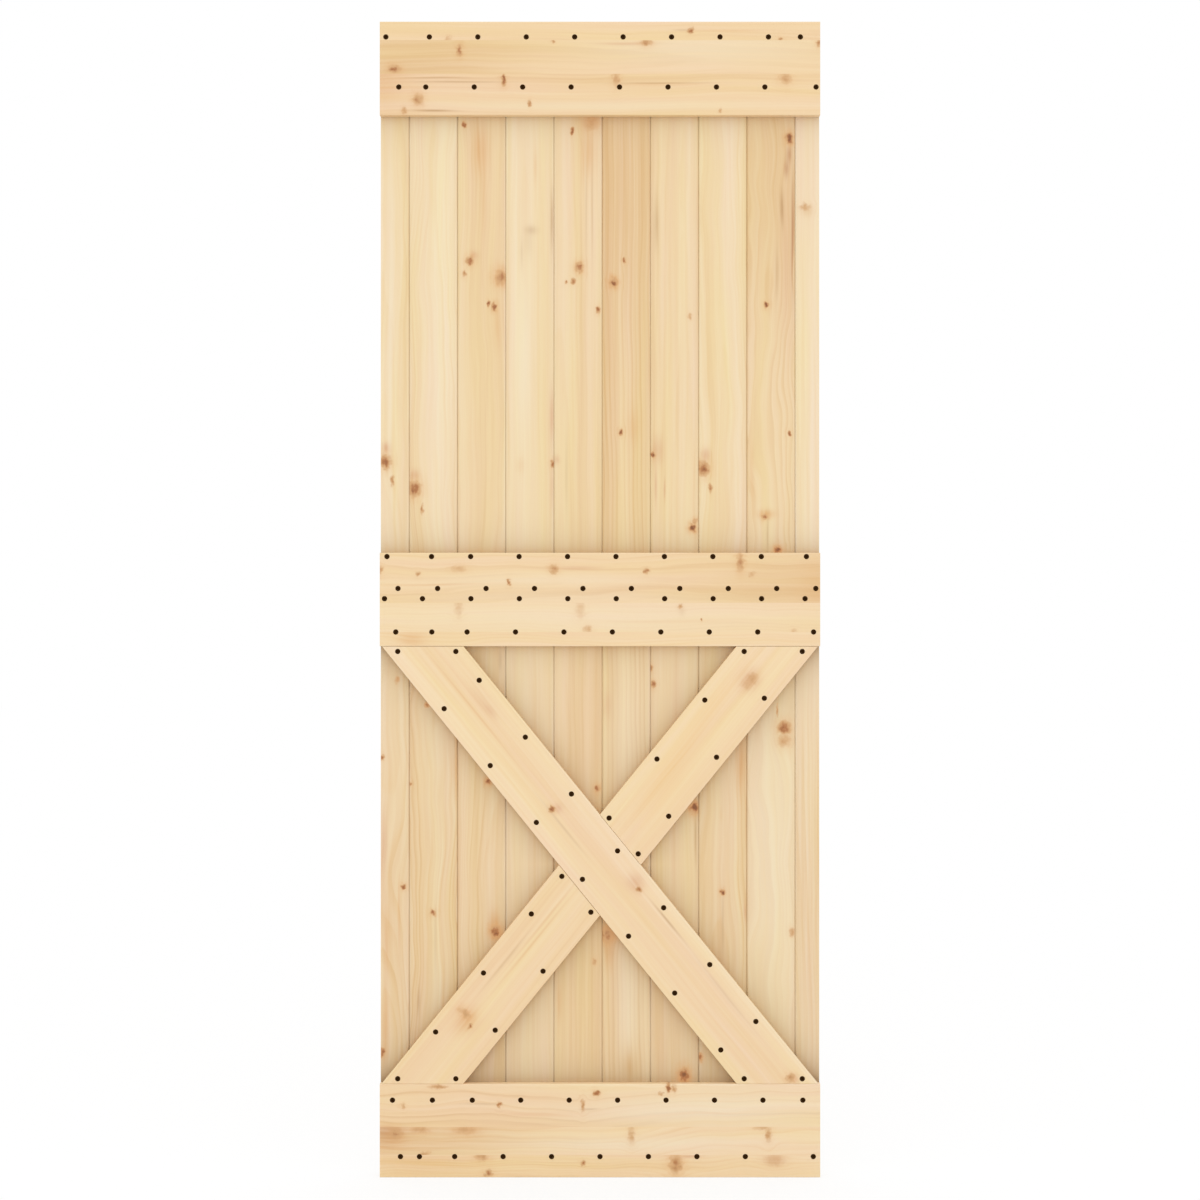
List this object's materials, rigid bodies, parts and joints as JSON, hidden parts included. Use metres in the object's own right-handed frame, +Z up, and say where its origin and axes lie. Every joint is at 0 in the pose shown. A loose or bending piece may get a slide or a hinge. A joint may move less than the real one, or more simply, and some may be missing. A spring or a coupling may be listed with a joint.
{
  "type": "plank door leaf",
  "caption": "Ledged and braced plank door leaf: upright tongue-and-groove pine boards held by flat screwed rails and a crossed brace, hung by its top rail.",
  "frame": {"origin": "middle of the top rail's front face, where track hangers bolt on", "axes": "+X to the leaf's right seen from the front, +Y from the front to the back, +Z up"},
  "size_m": [0.8, 0.03, 2.1],
  "materials": {
    "board_pine": "matte",
    "batten_pine": "matte",
    "screw_steel": "satin"
  },
  "bodies": {
    "root": {"board_01": "board_pine", "board_02": "board_pine", "board_03": "board_pine", "board_04": "board_pine", "board_05": "board_pine", "board_06": "board_pine", "board_07": "board_pine", "board_08": "board_pine", "board_09": "board_pine", "board_10": "board_pine", "top_rail": "batten_pine", "middle_rail": "batten_pine", "bottom_rail": "batten_pine", "long_brace": "batten_pine", "upper_half_brace": "batten_pine", "lower_half_brace": "batten_pine"}
  },
  "joints": []
}
